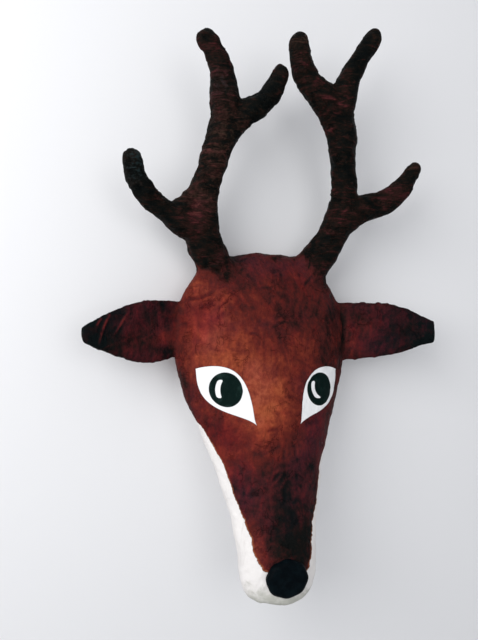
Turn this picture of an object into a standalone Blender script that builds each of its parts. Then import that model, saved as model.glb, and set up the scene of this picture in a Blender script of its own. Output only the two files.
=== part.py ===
"""Papier-mache stag's head that hangs flat against a wall.

Metres, +Z up. The origin is the middle of the flat back, on the midline.
The wall is the plane Y = 0 and the muzzle points to -Y, so a point's
"forward" distance below is -Y. The head, ears, antlers and nose are one
papered skin with no seam between them, so they are fused into one solid.
"""

import math

import bmesh
import bpy
import numpy as np

# Driving sizes
HEAD_HEIGHT = 0.337         # crown to chin
EAR_LENGTH = 0.119          # from inside the temple to the blunt tip
EAR_THICKNESS = 0.013
ANTLER_HEIGHT = 0.200       # root to tip of the left one, the right stands taller
ANTLER_THICKNESS = 0.027    # across the middle of a beam
NOSE_WIDTH = 0.0425
NOSE_HEIGHT = 0.0385
NOSE_RAISED = 0.005         # how far the nose stands out of the muzzle
NOSE_SUNK = 0.010           # how far its stem runs into the muzzle

# Fineness of the fused skin
GRAIN = 0.0022
SKIN_SMOOTHING = 7
ROOT_SMOOTHING = 40         # more where an antler grows out of the forehead
ROOT_SOFT_REACH = 0.034
ROOT_SOFT_GAIN = 1.6        # over 1 keeps full smoothing near the root
SKIN_TRIANGLES = 8600

# Head, from crown to chin, as shares of the head's height: how far down,
# half width, forward reach of the ridge, of the widest line and of the back.
# A back below nought lies behind the wall and is cut off flat.
CROWN_RISE = 0.240          # crown above the origin, share of the head's height
HEAD_STATIONS = (
    (0.000, 0.060, 0.080, 0.066, 0.052),
    (0.012, 0.168, 0.117, 0.055, -0.005),
    (0.035, 0.190, 0.138, 0.085, -0.045),
    (0.068, 0.203, 0.160, 0.110, -0.070),
    (0.137, 0.246, 0.196, 0.122, -0.070),
    (0.242, 0.272, 0.233, 0.120, -0.060),
    (0.345, 0.264, 0.259, 0.133, -0.040),
    (0.430, 0.245, 0.280, 0.152, 0.000),
    (0.530, 0.201, 0.304, 0.195, 0.050),
    (0.657, 0.161, 0.334, 0.240, 0.125),
    (0.773, 0.130, 0.364, 0.292, 0.182),
    (0.860, 0.118, 0.392, 0.326, 0.215),
    (0.942, 0.110, 0.399, 0.342, 0.236),
    (0.982, 0.090, 0.396, 0.347, 0.270),
    (1.000, 0.030, 0.375, 0.350, 0.325),
)
FRONT_FULLNESS = 1.5        # 1 is an ellipse, more draws the front to a ridge
BACK_FULLNESS = 0.8
HEAD_RINGS = 90
HEAD_AROUND = 96

# Ears. Stations run from root to tip: share of the length, half height and
# rise of the middle, both as shares of the length.
EAR_ROOT = (0.214, 0.095, 0.238)    # out, forward, down, shares of the head
EAR_SWEEP_DEG = 19.0                # turned forward out of the wall's plane
EAR_CUP = 0.10                      # hollow of its face, share of its height
EAR_FLAT = 1.4                      # over 1 gives flat faces between round rims
EAR_THINNEST = 0.55                 # at the tip, share of the full thickness
EAR_SLABS = 30
EAR_AROUND = 48
LEFT_EAR = {
    "side": -1,
    "droop_deg": 3.0,
    "stations": (
        (0.00, 0.190, 0.035), (0.16, 0.229, 0.026), (0.44, 0.254, 0.010), (0.70, 0.195, 0.014),
        (0.83, 0.144, 0.018), (0.95, 0.090, 0.017), (1.00, 0.067, 0.016),
    ),
}
RIGHT_EAR = {
    "side": 1,
    "droop_deg": -2.5,
    "stations": (
        (0.00, 0.240, 0.014), (0.16, 0.258, 0.014), (0.37, 0.248, 0.019), (0.60, 0.233, 0.020),
        (0.80, 0.176, 0.017), (0.93, 0.122, 0.004), (1.00, 0.100, -0.006),
    ),
}

# Antlers. A route runs out, forward and up from the antler's root in shares
# of the antler's height, with its thickness as a share of the beam's.
ANTLER_ROOT = (0.158, 0.098, 0.030)  # out, forward, down, shares of the head
ANTLER_FOOT = (0.150, 0.140, 0.085)  # where its front meets the forehead
LEFT_ANTLER = {
    "beam": (
        (-0.08, -0.09, -0.28, 0.90), (-0.048, -0.025, -0.08, 1.36), (0.045, 0.03, 0.07, 1.31),
        (0.077, 0.07, 0.19, 1.18), (0.072, 0.10, 0.33, 1.03), (0.043, 0.125, 0.445, 0.97),
        (0.012, 0.15, 0.56, 1.12), (-0.02, 0.17, 0.665, 1.05),
    ),
    "outer": (
        (-0.01, 0.162, 0.60, 0.90), (0.008, 0.184, 0.705, 1.03), (0.022, 0.20, 0.785, 0.93),
        (0.053, 0.215, 0.865, 0.82), (0.098, 0.23, 0.93, 0.73), (0.15, 0.245, 0.985, 0.62),
    ),
    "inner": (
        (0.00, 0.155, 0.58, 0.85), (-0.095, 0.183, 0.673, 0.87), (-0.16, 0.20, 0.714, 0.86),
        (-0.205, 0.215, 0.77, 0.82), (-0.229, 0.225, 0.83, 0.67), (-0.254, 0.235, 0.895, 0.54),
    ),
    "lower": (
        (0.05, 0.055, 0.127, 1.16), (0.19, 0.09, 0.177, 1.03), (0.30, 0.12, 0.228, 0.77),
        (0.373, 0.145, 0.290, 0.79), (0.418, 0.165, 0.36, 0.75), (0.445, 0.19, 0.47, 0.54),
    ),
    "web": (
        (0.22, 0.095, 0.20, 0.80), (0.165, 0.095, 0.245, 0.80), (0.12, 0.097, 0.29, 0.80),
        (0.08, 0.10, 0.345, 0.76),
    ),
}
RIGHT_ANTLER = {
    "beam": (
        (-0.08, -0.09, -0.28, 0.90), (-0.02, -0.025, -0.07, 1.44), (0.042, 0.02, 0.05, 1.24),
        (0.098, 0.05, 0.15, 1.14), (0.13, 0.085, 0.29, 1.06), (0.110, 0.12, 0.45, 0.98),
        (0.081, 0.145, 0.565, 1.06), (0.060, 0.166, 0.665, 1.14), (0.03, 0.18, 0.74, 0.98),
    ),
    "outer": (
        (0.063, 0.16, 0.65, 0.93), (0.049, 0.19, 0.77, 1.00), (0.066, 0.212, 0.87, 0.85),
        (0.112, 0.23, 0.97, 0.72), (0.160, 0.24, 1.05, 0.64), (0.196, 0.25, 1.11, 0.50),
    ),
    "inner": (
        (0.045, 0.16, 0.65, 0.90), (-0.03, 0.19, 0.755, 1.05), (-0.137, 0.21, 0.843, 0.90),
        (-0.188, 0.225, 0.922, 0.82), (-0.208, 0.24, 0.98, 0.74), (-0.206, 0.245, 1.043, 0.65),
    ),
    "lower": (
        (0.11, 0.06, 0.20, 1.00), (0.225, 0.10, 0.287, 1.05), (0.325, 0.126, 0.322, 0.88),
        (0.40, 0.15, 0.376, 0.82), (0.445, 0.165, 0.435, 0.69), (0.487, 0.19, 0.535, 0.54),
    ),
}
ANTLER_STEPS = 40           # rings along one beam or tine
STEP_SPACING = 0.8          # under 1 brings the rings closer near the tip
TIP_END = 0.15              # radius of the last ring, share of the tip's
LUMP_DEPTH = 0.020          # lumps of the crumpled paper, share of thickness
LUMP_LENGTH = 0.026
SLOW_LUMP_DEPTH = 0.6       # second, slower swelling, as shares of the first
SLOW_LUMP_RATE = 0.43

# Nose, as shares of the head's height
NOSE_DOWN = 0.914
NOSE_FORWARD = 0.398
NOSE_SIDES = 8
NOSE_SIDE_DEPTH = 0.035     # how much the sides are drawn in between corners
NOSE_ROUND = 0.25           # rounding of the rim, share of the half width
NOSE_STEM = 0.9             # width of the sunk stem, share of the nose's
NOSE_FLAT = 0.35            # width of its flat middle
NOSE_SWELL = 1.1            # how far the middle stands out, share of the rim's
NOSE_AROUND = 40
NOSE_RIM_RINGS = 5

# Paint: colour and roughness
BROWN = ("red_brown_paint", (0.130, 0.030, 0.016), 0.50)
DARK = ("dark_antler_paint", (0.030, 0.012, 0.009), 0.55)
WHITE = ("white_jaw_paint", (0.750, 0.730, 0.660), 0.55)
BLACK = ("black_nose_paint", (0.010, 0.010, 0.011), 0.32)
JAW_LINE = 0.50             # share of the way from widest line to ridge
JAW_FROM = 0.48             # share of the head's height where white begins
PAINT_PAST_NOSE = 1.05      # black reaches a little past the nose's rim
SHARP_ANGLE_DEG = 50.0

CROWN_ABOVE_ORIGIN = HEAD_HEIGHT * CROWN_RISE


def clear_scene():
    for item in list(bpy.data.objects):
        bpy.data.objects.remove(item, do_unlink=True)


def new_collection(name):
    group = bpy.data.collections.new(name)
    bpy.context.scene.collection.children.link(group)
    return group


def through(stations, where):
    """Smooth curve through the stations, one column for each value.

    A cubic Hermite curve, with the slope at each station taken from its two
    neighbours.
    """
    table = np.array(stations, dtype=float)
    keys, values = table[:, 0], table[:, 1:]
    slopes = np.gradient(values, keys, axis=0)
    index = np.clip(np.searchsorted(keys, where) - 1, 0, len(keys) - 2)
    span = (keys[index + 1] - keys[index])[:, None]
    t = (where - keys[index])[:, None] / span
    start, end = values[index], values[index + 1]
    curve = (2 * t**3 - 3 * t**2 + 1) * start + (t**3 - 2 * t**2 + t) * span * slopes[index]
    return curve + (3 * t**2 - 2 * t**3) * end + (t**3 - t**2) * span * slopes[index + 1]


def loft(name, rings, group):
    """Closed skin over a stack of rings, with a flat cap on each end."""
    count, around, _ = rings.shape
    mesh = bpy.data.meshes.new(name)
    shape = bmesh.new()
    verts = [shape.verts.new(point) for point in rings.reshape(-1, 3)]
    for row in range(count - 1):
        for column in range(around):
            after = (column + 1) % around
            shape.faces.new((
                verts[row * around + column],
                verts[row * around + after],
                verts[(row + 1) * around + after],
                verts[(row + 1) * around + column],
            ))
    shape.faces.new(verts[:around])
    shape.faces.new(verts[-around:])
    bmesh.ops.recalc_face_normals(shape, faces=shape.faces)
    shape.to_mesh(mesh)
    shape.free()
    item = bpy.data.objects.new(name, mesh)
    group.objects.link(item)
    return item


def head_sizes(down):
    """Half width, ridge, widest line and back at each share of the way down.

    The curve runs over the angle whose cosine falls from crown to chin, so
    that both ends close in a dome.
    """
    table = np.array(HEAD_STATIONS)
    table[:, 0] = np.arccos(1.0 - 2.0 * table[:, 0])
    return through(table, np.arccos(1.0 - 2.0 * down)).T


def head(group):
    """Level rings from crown to chin.

    On the front half x = w sin a and forward = m + (f - m) cos(a)^fullness,
    on the back half f is the back's reach and the fullness the back's.
    """
    down = 0.5 - 0.5 * np.cos(np.linspace(0.0, math.pi, HEAD_RINGS))
    half, front, widest, back = head_sizes(down)
    angle = np.linspace(0.0, 2 * math.pi, HEAD_AROUND, endpoint=False)
    rise = np.cos(angle)
    facing = rise >= 0
    reach = np.where(facing, front[:, None], back[:, None]) - widest[:, None]
    fullness = np.where(facing, FRONT_FULLNESS, BACK_FULLNESS)
    forward = widest[:, None] + reach * np.abs(rise) ** fullness
    across = half[:, None] * np.sin(angle)
    level = np.broadcast_to(down[:, None], across.shape)
    rings = HEAD_HEIGHT * np.stack((across, -forward, -level), axis=-1)
    rings[..., 2] += CROWN_ABOVE_ORIGIN
    return loft("head_form", rings, group)


def on_head(out, forward, down):
    """A place given in shares of the head's height."""
    return np.array((
        HEAD_HEIGHT * out,
        -HEAD_HEIGHT * forward,
        CROWN_ABOVE_ORIGIN - HEAD_HEIGHT * down,
    ))


def ear(name, values, group):
    """Leaf-shaped ear: slabs with round rims, square to its length.

    Each slab is a circle (t sin a up, t cos a forward) moved up and down by
    the rest of the half height. A cup bends it forward at both rims.
    """
    along = 0.5 - 0.5 * np.cos(np.linspace(0.0, math.pi, EAR_SLABS))
    tall, middle = (EAR_LENGTH * through(values["stations"], along)).T
    thick = 0.5 * EAR_THICKNESS * np.clip(tall / tall.max(), EAR_THINNEST, 1.0)
    angle = np.linspace(0.0, 2 * math.pi, EAR_AROUND, endpoint=False)
    spread = np.clip(EAR_FLAT * np.sin(angle), -1.0, 1.0)
    rise = (tall - thick)[:, None] * spread + thick[:, None] * np.sin(angle)
    cup = EAR_CUP * (rise**2 / tall[:, None] - 0.5 * tall[:, None])
    forward = thick[:, None] * np.cos(angle) + cup
    length = np.broadcast_to(EAR_LENGTH * along[:, None], forward.shape)
    up = rise + middle[:, None]
    droop = math.radians(values["droop_deg"])
    sweep = math.radians(EAR_SWEEP_DEG)
    out = length * math.cos(droop) + up * math.sin(droop)
    up = up * math.cos(droop) - length * math.sin(droop)
    across = out * math.cos(sweep) - forward * math.sin(sweep)
    forward = out * math.sin(sweep) + forward * math.cos(sweep)
    root = on_head(*EAR_ROOT)
    rings = np.stack((root[0] + across, root[1] - forward, root[2] + up), axis=-1)
    rings[..., 0] *= values["side"]
    return loft(name, rings, group)


def branch(name, route, side, group):
    """One beam or tine: a curve with a round bevel and a rounded end.

    Its thickness swells and shrinks in two slow waves along its length.
    """
    rows = through(
        [(share, *values) for share, values in zip(np.linspace(0, 1, len(route)), route)],
        np.linspace(0.0, 1.0, ANTLER_STEPS) ** STEP_SPACING,
    )
    root = on_head(*ANTLER_ROOT)
    places = np.column_stack((
        side * (root[0] + ANTLER_HEIGHT * rows[:, 0]),
        root[1] - ANTLER_HEIGHT * rows[:, 1],
        root[2] + ANTLER_HEIGHT * rows[:, 2],
    ))
    steps = np.linalg.norm(np.diff(places, axis=0), axis=1)
    walked = np.concatenate(((0.0,), np.cumsum(steps)))
    turn = 2 * math.pi * walked / LUMP_LENGTH
    swelling = np.sin(turn) + SLOW_LUMP_DEPTH * np.sin(SLOW_LUMP_RATE * turn + side)
    thick = rows[:, 3] * (1.0 + LUMP_DEPTH * swelling)
    end = 0.5 * ANTLER_THICKNESS * thick[-1]
    left = np.clip((walked[-1] - walked) / end, 0.0, 1.0)
    thick = thick * np.clip(np.sqrt(1.0 - (1.0 - left) ** 2), TIP_END, 1.0)

    curve = bpy.data.curves.new(name, "CURVE")
    curve.dimensions = "3D"
    curve.bevel_depth = 0.5 * ANTLER_THICKNESS
    curve.bevel_resolution = 4
    curve.use_fill_caps = True
    spline = curve.splines.new("POLY")
    spline.points.add(ANTLER_STEPS - 1)
    for point, place, radius in zip(spline.points, places, thick):
        point.co = (*place, 1.0)
        point.radius = radius
    tube = bpy.data.objects.new(name, curve)
    group.objects.link(tube)
    return tube


def as_mesh(tube, group):
    """The curve as a closed mesh, with its end caps welded on."""
    bpy.context.view_layer.update()
    seen = tube.evaluated_get(bpy.context.evaluated_depsgraph_get())
    mesh = bpy.data.meshes.new_from_object(seen)
    shape = bmesh.new()
    shape.from_mesh(mesh)
    bmesh.ops.remove_doubles(shape, verts=shape.verts, dist=0.00001)
    bmesh.ops.recalc_face_normals(shape, faces=shape.faces)
    shape.to_mesh(mesh)
    shape.free()
    item = bpy.data.objects.new(tube.name + "_form", mesh)
    item.matrix_world = tube.matrix_world
    group.objects.link(item)
    bpy.data.objects.remove(tube, do_unlink=True)
    return item


def antler(name, routes, side, group):
    return [
        as_mesh(branch(name + "_" + part, route, side, group), group)
        for part, route in routes.items()
    ]


def nose(group):
    """Raised button with drawn-in sides and a rounded rim."""
    rim = np.linspace(0.0, 0.5 * math.pi, NOSE_RIM_RINGS)
    rounded = 1.0 - NOSE_ROUND + NOSE_ROUND * np.cos(rim)
    spread = np.concatenate(((NOSE_STEM,), rounded, (NOSE_FLAT,)))
    stand = np.concatenate(((-NOSE_SUNK,), NOSE_RAISED * np.sin(rim), (NOSE_SWELL * NOSE_RAISED,)))
    profile = np.column_stack((spread, stand))
    angle = np.linspace(0.0, 2 * math.pi, NOSE_AROUND, endpoint=False)
    wave = 1.0 - NOSE_SIDE_DEPTH * np.sin(0.5 * NOSE_SIDES * angle) ** 2
    across = 0.5 * NOSE_WIDTH * profile[:, :1] * wave * np.sin(angle)
    level = 0.5 * NOSE_HEIGHT * profile[:, :1] * wave * np.cos(angle)
    forward = np.broadcast_to(profile[:, 1:], across.shape)
    centre = on_head(0.0, NOSE_FORWARD, NOSE_DOWN)
    rings = np.stack((across, centre[1] - forward, centre[2] + level), axis=-1)
    return loft("nose_form", rings, group)


def join(name, pieces, group):
    """All the forms' faces in one mesh, still overlapping."""
    together = bmesh.new()
    for piece in pieces:
        together.from_mesh(piece.data)
        bpy.data.objects.remove(piece, do_unlink=True)
    mesh = bpy.data.meshes.new(name)
    together.to_mesh(mesh)
    together.free()
    item = bpy.data.objects.new(name, mesh)
    group.objects.link(item)
    return item


def wall_cutter(group):
    """Block behind the wall's plane, which cuts the back off flat."""
    size = 4.0 * HEAD_HEIGHT
    mesh = bpy.data.meshes.new("wall_cutter")
    block = bmesh.new()
    bmesh.ops.create_cube(block, size=size)
    bmesh.ops.translate(block, verts=block.verts, vec=(0.0, 0.5 * size, 0.0))
    block.to_mesh(mesh)
    block.free()
    item = bpy.data.objects.new("wall_cutter", mesh)
    group.objects.link(item)
    return item


def as_helper(item):
    item.hide_render = True
    item.display_type = "WIRE"
    return item


def evaluated_mesh(item):
    bpy.context.view_layer.update()
    seen = item.evaluated_get(bpy.context.evaluated_depsgraph_get())
    return bpy.data.meshes.new_from_object(seen)


def triangle_count(item):
    mesh = evaluated_mesh(item)
    count = sum(len(face.vertices) - 2 for face in mesh.polygons)
    bpy.data.meshes.remove(mesh)
    return count


def boolean(item, name, operation, other):
    step = item.modifiers.new(name, "BOOLEAN")
    step.operation = operation
    step.solver = "EXACT"
    step.object = other


def bake(item):
    """The object's mesh as its modifiers leave it, in place of the modifiers."""
    mesh = evaluated_mesh(item)
    item.modifiers.clear()
    item.data = mesh


def skin_over(item):
    """One skin over all the overlapping forms, softened where they meet."""
    skin = item.modifiers.new("fused_skin", "REMESH")
    skin.mode = "VOXEL"
    skin.voxel_size = GRAIN
    soft = item.modifiers.new("soft_joins", "SMOOTH")
    soft.factor = 0.5
    soft.iterations = SKIN_SMOOTHING
    bake(item)


def soften_roots(item):
    """More smoothing round each antler's root, fading out with distance."""
    points = np.empty(3 * len(item.data.vertices))
    item.data.vertices.foreach_get("co", points)
    points = points.reshape(-1, 3)
    weight = np.zeros(len(points))
    for side in (-1, 1):
        foot = on_head(*ANTLER_FOOT) * (side, 1.0, 1.0)
        distance = np.linalg.norm(points - foot, axis=1)
        near = ROOT_SOFT_GAIN * (1.0 - distance / ROOT_SOFT_REACH)
        weight = np.maximum(weight, np.clip(near, 0.0, 1.0))
    roots = item.vertex_groups.new(name="antler_roots")
    for index in np.flatnonzero(weight):
        roots.add([int(index)], float(weight[index]), "REPLACE")
    soft = item.modifiers.new("soft_roots", "SMOOTH")
    soft.factor = 0.5
    soft.iterations = ROOT_SMOOTHING
    soft.vertex_group = roots.name


def finish_form(item, button, cutter):
    """Fewer faces, then the nose put on and the back cut off at the wall."""
    thin = item.modifiers.new("fewer_faces", "DECIMATE")
    thin.ratio = min(1.0, SKIN_TRIANGLES / triangle_count(item))
    boolean(item, "nose", "UNION", button)
    boolean(item, "flat_back", "DIFFERENCE", cutter)
    bake(item)


def paint(name, colour, roughness):
    material = bpy.data.materials.new(name)
    material.use_nodes = True
    shader = material.node_tree.nodes["Principled BSDF"]
    shader.inputs["Base Color"].default_value = (*colour, 1.0)
    shader.inputs["Roughness"].default_value = roughness
    shader.inputs["Metallic"].default_value = 0.0
    return material


def paint_faces(mesh):
    """Dark antlers, white jaw and black nose on a red-brown head."""
    for values in (BROWN, DARK, WHITE, BLACK):
        mesh.materials.append(paint(*values))
    middle = np.empty(3 * len(mesh.polygons))
    mesh.polygons.foreach_get("center", middle)
    x, y, z = middle.reshape(-1, 3).T
    down = (CROWN_ABOVE_ORIGIN - z) / HEAD_HEIGHT
    _, front, widest, _ = HEAD_HEIGHT * head_sizes(np.clip(down, 0.0, 1.0))
    jaw = (down > JAW_FROM) & (-y < widest + JAW_LINE * (front - widest))
    centre = on_head(0.0, NOSE_FORWARD, NOSE_DOWN)
    spread = np.hypot(2 * x / NOSE_WIDTH, 2 * (z - centre[2]) / NOSE_HEIGHT)
    button = (spread < PAINT_PAST_NOSE) & (y < centre[1])
    ears = np.abs(x) > HEAD_HEIGHT * max(row[1] for row in HEAD_STATIONS)
    slots = np.where((down < 0.0) | ears, 1, 0)
    slots = np.where(jaw, 2, slots)
    slots = np.where(button, 3, slots)
    mesh.polygons.foreach_set("material_index", slots.astype(np.int32))
    mesh.update()


def main():
    clear_scene()
    parts = new_collection("papier_mache_stag_head")
    helpers = new_collection("helpers")
    pieces = [head(parts)]
    pieces.append(ear("left_ear", LEFT_EAR, parts))
    pieces.append(ear("right_ear", RIGHT_EAR, parts))
    pieces.extend(antler("left_antler", LEFT_ANTLER, -1, parts))
    pieces.extend(antler("right_antler", RIGHT_ANTLER, 1, parts))
    stag = join("stag_head", pieces, parts)
    skin_over(stag)
    soften_roots(stag)
    finish_form(stag, as_helper(nose(helpers)), as_helper(wall_cutter(helpers)))
    paint_faces(stag.data)
    stag.data.shade_smooth()
    stag.data.set_sharp_from_angle(angle=math.radians(SHARP_ANGLE_DEG))


main()
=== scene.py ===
"""Studio scene for a papier-mache stag's head that hangs on a pale wall.

Metres, +Z up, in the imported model's frame. The wall is the plane Y = 0 and
the muzzle points to -Y, so a point's "forward" distance below is -Y.
"""

import math

import bmesh
import bpy
import numpy as np
from mathutils import Matrix, Vector


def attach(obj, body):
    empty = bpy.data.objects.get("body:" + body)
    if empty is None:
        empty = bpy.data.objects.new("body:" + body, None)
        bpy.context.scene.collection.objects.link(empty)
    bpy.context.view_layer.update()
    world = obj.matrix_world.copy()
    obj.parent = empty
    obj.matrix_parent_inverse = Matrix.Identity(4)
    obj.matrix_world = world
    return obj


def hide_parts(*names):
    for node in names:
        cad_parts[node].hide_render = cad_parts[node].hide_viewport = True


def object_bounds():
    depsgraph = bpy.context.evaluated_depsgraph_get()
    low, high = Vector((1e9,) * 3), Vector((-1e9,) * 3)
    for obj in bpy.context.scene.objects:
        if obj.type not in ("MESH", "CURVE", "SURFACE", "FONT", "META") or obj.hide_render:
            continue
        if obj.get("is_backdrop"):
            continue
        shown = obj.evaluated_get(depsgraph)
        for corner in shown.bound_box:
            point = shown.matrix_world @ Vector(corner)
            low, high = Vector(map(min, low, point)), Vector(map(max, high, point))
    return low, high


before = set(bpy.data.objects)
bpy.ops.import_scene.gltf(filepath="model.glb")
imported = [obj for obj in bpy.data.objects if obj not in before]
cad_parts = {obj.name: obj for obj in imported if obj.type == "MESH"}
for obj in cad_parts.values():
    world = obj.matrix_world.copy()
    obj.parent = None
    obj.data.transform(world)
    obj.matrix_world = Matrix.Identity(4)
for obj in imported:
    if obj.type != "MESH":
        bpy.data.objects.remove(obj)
CAD_LOW, CAD_HIGH = (list(corner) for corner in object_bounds())

# The form, in the same values as the solid
HEAD_HEIGHT = 0.337
EAR_LENGTH = 0.119
EAR_THICKNESS = 0.013
ANTLER_HEIGHT = 0.200
ANTLER_THICKNESS = 0.027
NOSE_WIDTH = 0.0425
NOSE_HEIGHT = 0.0385
NOSE_RAISED = 0.005
NOSE_SUNK = 0.010
CROWN_RISE = 0.240
HEAD_STATIONS = (           # down, half width, ridge, widest line, back
    (0.000, 0.060, 0.080, 0.066, 0.052),
    (0.012, 0.168, 0.117, 0.055, -0.005),
    (0.035, 0.190, 0.138, 0.085, -0.045),
    (0.068, 0.203, 0.160, 0.110, -0.070),
    (0.137, 0.246, 0.196, 0.122, -0.070),
    (0.242, 0.272, 0.233, 0.120, -0.060),
    (0.345, 0.264, 0.259, 0.133, -0.040),
    (0.430, 0.245, 0.280, 0.152, 0.000),
    (0.530, 0.201, 0.304, 0.195, 0.050),
    (0.657, 0.161, 0.334, 0.240, 0.125),
    (0.773, 0.130, 0.364, 0.292, 0.182),
    (0.860, 0.118, 0.392, 0.326, 0.215),
    (0.942, 0.110, 0.399, 0.342, 0.236),
    (0.982, 0.090, 0.396, 0.347, 0.270),
    (1.000, 0.030, 0.375, 0.350, 0.325),
)
FRONT_FULLNESS = 1.5
BACK_FULLNESS = 0.8
EAR_ROOT = (0.214, 0.095, 0.238)
EAR_SWEEP = math.radians(19.0)
EAR_CUP = 0.10
EAR_FLAT = 1.4
EAR_THINNEST = 0.55
LEFT_EAR = (-1, math.radians(3.0), (
    (0.00, 0.190, 0.035), (0.16, 0.229, 0.026), (0.44, 0.254, 0.010), (0.70, 0.195, 0.014),
    (0.83, 0.144, 0.018), (0.95, 0.090, 0.017), (1.00, 0.067, 0.016),
))
RIGHT_EAR = (1, math.radians(-2.5), (
    (0.00, 0.240, 0.014), (0.16, 0.258, 0.014), (0.37, 0.248, 0.019), (0.60, 0.233, 0.020),
    (0.80, 0.176, 0.017), (0.93, 0.122, 0.004), (1.00, 0.100, -0.006),
))
ANTLER_ROOT = (0.158, 0.098, 0.030)
ANTLER_FOOT = (0.150, 0.140, 0.085)
LEFT_ANTLER = (             # out, forward, up, thickness
    (
        (-0.08, -0.09, -0.28, 0.90), (-0.048, -0.025, -0.08, 1.36), (0.045, 0.03, 0.07, 1.31),
        (0.077, 0.07, 0.19, 1.18), (0.072, 0.10, 0.33, 1.03), (0.043, 0.125, 0.445, 0.97),
        (0.012, 0.15, 0.56, 1.12), (-0.02, 0.17, 0.665, 1.05),
    ),
    (
        (-0.01, 0.162, 0.60, 0.90), (0.008, 0.184, 0.705, 1.03), (0.022, 0.20, 0.785, 0.93),
        (0.053, 0.215, 0.865, 0.82), (0.098, 0.23, 0.93, 0.73), (0.15, 0.245, 0.985, 0.62),
    ),
    (
        (0.00, 0.155, 0.58, 0.85), (-0.095, 0.183, 0.673, 0.87), (-0.16, 0.20, 0.714, 0.86),
        (-0.205, 0.215, 0.77, 0.82), (-0.229, 0.225, 0.83, 0.67), (-0.254, 0.235, 0.895, 0.54),
    ),
    (
        (0.05, 0.055, 0.127, 1.16), (0.19, 0.09, 0.177, 1.03), (0.30, 0.12, 0.228, 0.77),
        (0.373, 0.145, 0.290, 0.79), (0.418, 0.165, 0.36, 0.75), (0.445, 0.19, 0.47, 0.54),
    ),
    (
        (0.22, 0.095, 0.20, 0.80), (0.165, 0.095, 0.245, 0.80), (0.12, 0.097, 0.29, 0.80),
        (0.08, 0.10, 0.345, 0.76),
    ),
)
RIGHT_ANTLER = (
    (
        (-0.08, -0.09, -0.28, 0.90), (-0.02, -0.025, -0.07, 1.44), (0.042, 0.02, 0.05, 1.24),
        (0.098, 0.05, 0.15, 1.14), (0.13, 0.085, 0.29, 1.06), (0.110, 0.12, 0.45, 0.98),
        (0.081, 0.145, 0.565, 1.06), (0.060, 0.166, 0.665, 1.14), (0.03, 0.18, 0.74, 0.98),
    ),
    (
        (0.063, 0.16, 0.65, 0.93), (0.049, 0.19, 0.77, 1.00), (0.066, 0.212, 0.87, 0.85),
        (0.112, 0.23, 0.97, 0.72), (0.160, 0.24, 1.05, 0.64), (0.196, 0.25, 1.11, 0.50),
    ),
    (
        (0.045, 0.16, 0.65, 0.90), (-0.03, 0.19, 0.755, 1.05), (-0.137, 0.21, 0.843, 0.90),
        (-0.188, 0.225, 0.922, 0.82), (-0.208, 0.24, 0.98, 0.74), (-0.206, 0.245, 1.043, 0.65),
    ),
    (
        (0.11, 0.06, 0.20, 1.00), (0.225, 0.10, 0.287, 1.05), (0.325, 0.126, 0.322, 0.88),
        (0.40, 0.15, 0.376, 0.82), (0.445, 0.165, 0.435, 0.69), (0.487, 0.19, 0.535, 0.54),
    ),
)
LUMP_DEPTH = 0.020
LUMP_LENGTH = 0.026
NOSE_DOWN = 0.914
NOSE_FORWARD = 0.398
NOSE_SIDES = 8
NOSE_SIDE_DEPTH = 0.035
NOSE_ROUND = 0.25
CROWN = HEAD_HEIGHT * CROWN_RISE
ANTLERS_ABOVE = 0.074       # height where the antlers' dark paint begins
EARS_BEYOND = 0.094         # half width where the ears begin

# The paper skin
GRAIN = 0.00170
SOFT_ROUNDS = 13
ROOT_ROUNDS = 70
ROOT_REACH = 0.034
STORED = ("stand", "folded", "wrinkle")     # values kept on the skin's points, for its paint
STRIPS = 520
STRIP_HALF = np.array((0.030, 0.0095))      # half length and half width of a torn strip
STRIP_STEP = 0.00022                        # its thickness
STRIP_WOBBLE = 0.0014                       # how far its torn edge wanders
STRIP_BEND = 0.012                          # how far it follows the skin round a bend
STRIP_WRINKLE = (0.018, 0.0045)             # its wrinkles, along and across
HEAD_WRINKLES = 0.00040
EAR_WRINKLES = 0.00034
ANTLER_WRINKLES = 0.00070
HEAD_WAVES = (0.0007, 0.030, 31)            # height, size and seed
HEAD_RIPPLES = (0.0003, 0.012, 37)
ANTLER_LUMPS = (0.0010, 0.014, 61)
ANTLER_CRUMPLES = (0.0007, 0.006, 67)
RIM_BUMPS = 0.0010


def through(stations, where):
    """Smooth curve through the stations: a cubic Hermite curve in its first
    column, with the slope at each station taken from its two neighbours.
    """
    table = np.array(stations, dtype=float)
    keys, values = table[:, 0], table[:, 1:]
    slopes = np.gradient(values, keys, axis=0)
    index = np.clip(np.searchsorted(keys, where) - 1, 0, len(keys) - 2)
    span = (keys[index + 1] - keys[index])[:, None]
    t = (where - keys[index])[:, None] / span
    start, end = values[index], values[index + 1]
    curve = (2 * t**3 - 3 * t**2 + 1) * start + (t**3 - 2 * t**2 + t) * span * slopes[index]
    return curve + (3 * t**2 - 2 * t**3) * end + (t**3 - t**2) * span * slopes[index + 1]


def on_head(out, forward, down):
    """A place given in shares of the head's height."""
    return np.array((HEAD_HEIGHT * out, -HEAD_HEIGHT * forward, CROWN - HEAD_HEIGHT * down))


def head_sizes(down):
    """Half width, ridge, widest line and back at each share of the way down,
    over the angle whose cosine falls from crown to chin.
    """
    table = np.array(HEAD_STATIONS)
    table[:, 0] = np.arccos(1.0 - 2.0 * table[:, 0])
    return through(table, np.arccos(1.0 - 2.0 * down)).T


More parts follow.
